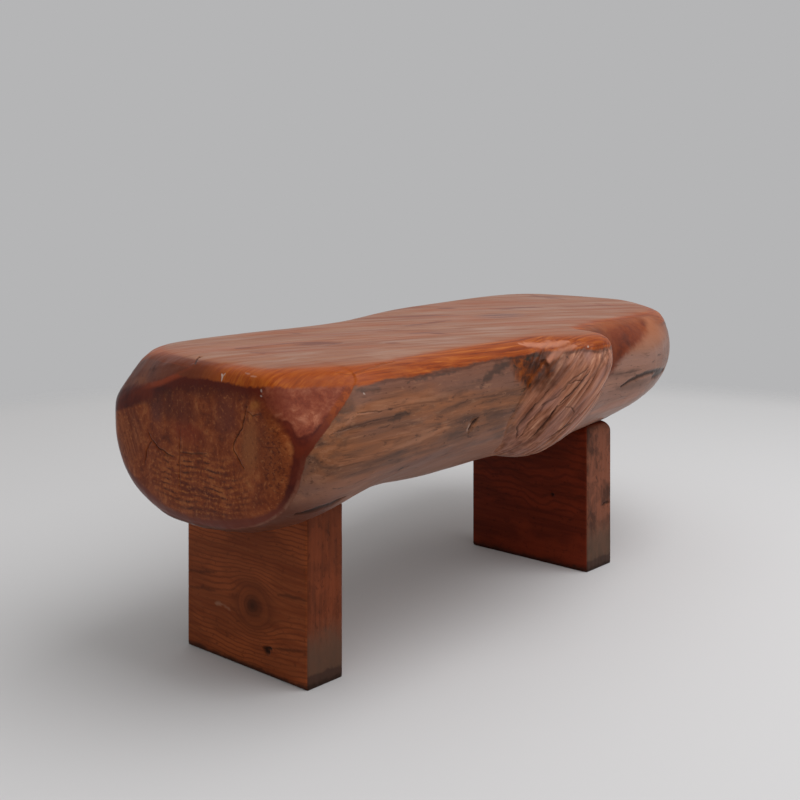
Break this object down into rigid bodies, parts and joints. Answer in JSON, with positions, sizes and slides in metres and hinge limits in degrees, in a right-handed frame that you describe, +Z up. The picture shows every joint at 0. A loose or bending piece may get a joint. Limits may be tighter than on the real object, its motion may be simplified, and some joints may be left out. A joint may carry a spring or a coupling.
{
  "type": "log bench",
  "caption": "Rustic bench with a flat-sawn seat made from a half log, standing on a thick plank leg under each end.",
  "frame": {"origin": "on the floor under the middle of the bench's bounding box", "axes": "+X along the log towards the end with the wide, rounded tail; +Y towards the back, away from the side with the burl lobe; +Z up"},
  "size_m": [1.21, 0.6124, 0.43],
  "materials": {
    "log_wood": "oiled and lacquered, satin to gloss",
    "leg_wood": "stained red-brown, satin",
    "dowel_wood": "bare hardwood"
  },
  "bodies": {
    "root": {"seat_log": "log_wood", "near_leg": "leg_wood", "far_leg": "leg_wood", "near_front_dowel": "dowel_wood", "near_back_dowel": "dowel_wood", "far_front_dowel": "dowel_wood", "far_back_dowel": "dowel_wood"}
  },
  "joints": []
}
